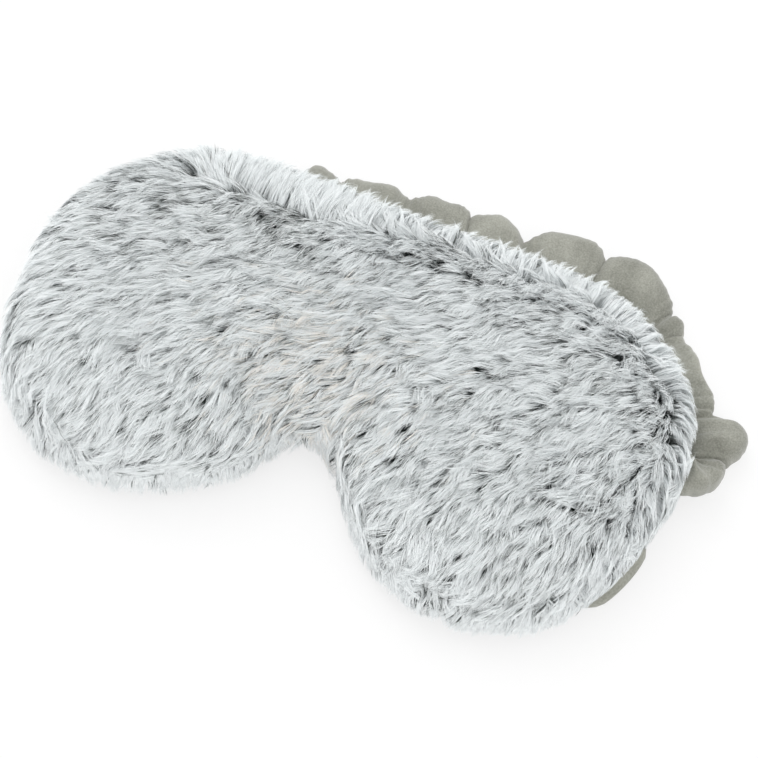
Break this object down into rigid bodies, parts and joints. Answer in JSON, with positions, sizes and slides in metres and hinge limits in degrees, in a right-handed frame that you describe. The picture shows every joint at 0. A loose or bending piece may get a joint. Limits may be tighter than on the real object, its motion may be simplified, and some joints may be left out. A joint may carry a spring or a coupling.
{
  "type": "eye pillow",
  "caption": "Two-lobed weighted eye pillow, long-pile front, plush back, grain-filled liner and a scrunched elastic head band.",
  "frame": {"origin": "on the rest face of the back, at the middle of the nose bridge", "axes": "+X along the mask's length, +Y towards the forehead edge, +Z out of the furry front; the mask lies on its back"},
  "size_m": [0.2547, 0.1538, 0.035],
  "materials": {
    "faux_fur": "long pile, pale tips and dark roots",
    "plush_back": "short-pile microfleece",
    "band_plush": "short-pile microfleece, gathered",
    "cotton_liner": "plain weave, matt",
    "grain": "loose grain",
    "elastic": "woven elastic",
    "thread": "polyester thread"
  },
  "bodies": {
    "mask": {"front_cover": "faux_fur", "back_cover": "plush_back", "cover_seam_thread": "thread", "turning_gap_stitches": "thread", "liner_front": "cotton_liner", "liner_back": "cotton_liner", "liner_seam_thread": "thread", "divider_stitches": "thread", "filling_left": "grain", "filling_right": "grain", "sleeve_end_left": "band_plush", "sleeve_end_right": "band_plush", "elastic_end_left": "elastic", "elastic_end_right": "elastic", "bar_tack_left": "thread", "bar_tack_right": "thread"},
    "band": {"band_sleeve": "band_plush", "band_elastic": "elastic", "sleeve_seam_thread": "thread"}
  },
  "joints": [
    {"name": "band_swing", "type": "hinge", "parent": "mask", "child": "band", "pos_m": [0, -0.01, 0.012], "axis": [-1, 0, 0], "range_deg": [0, 90]}
  ]
}
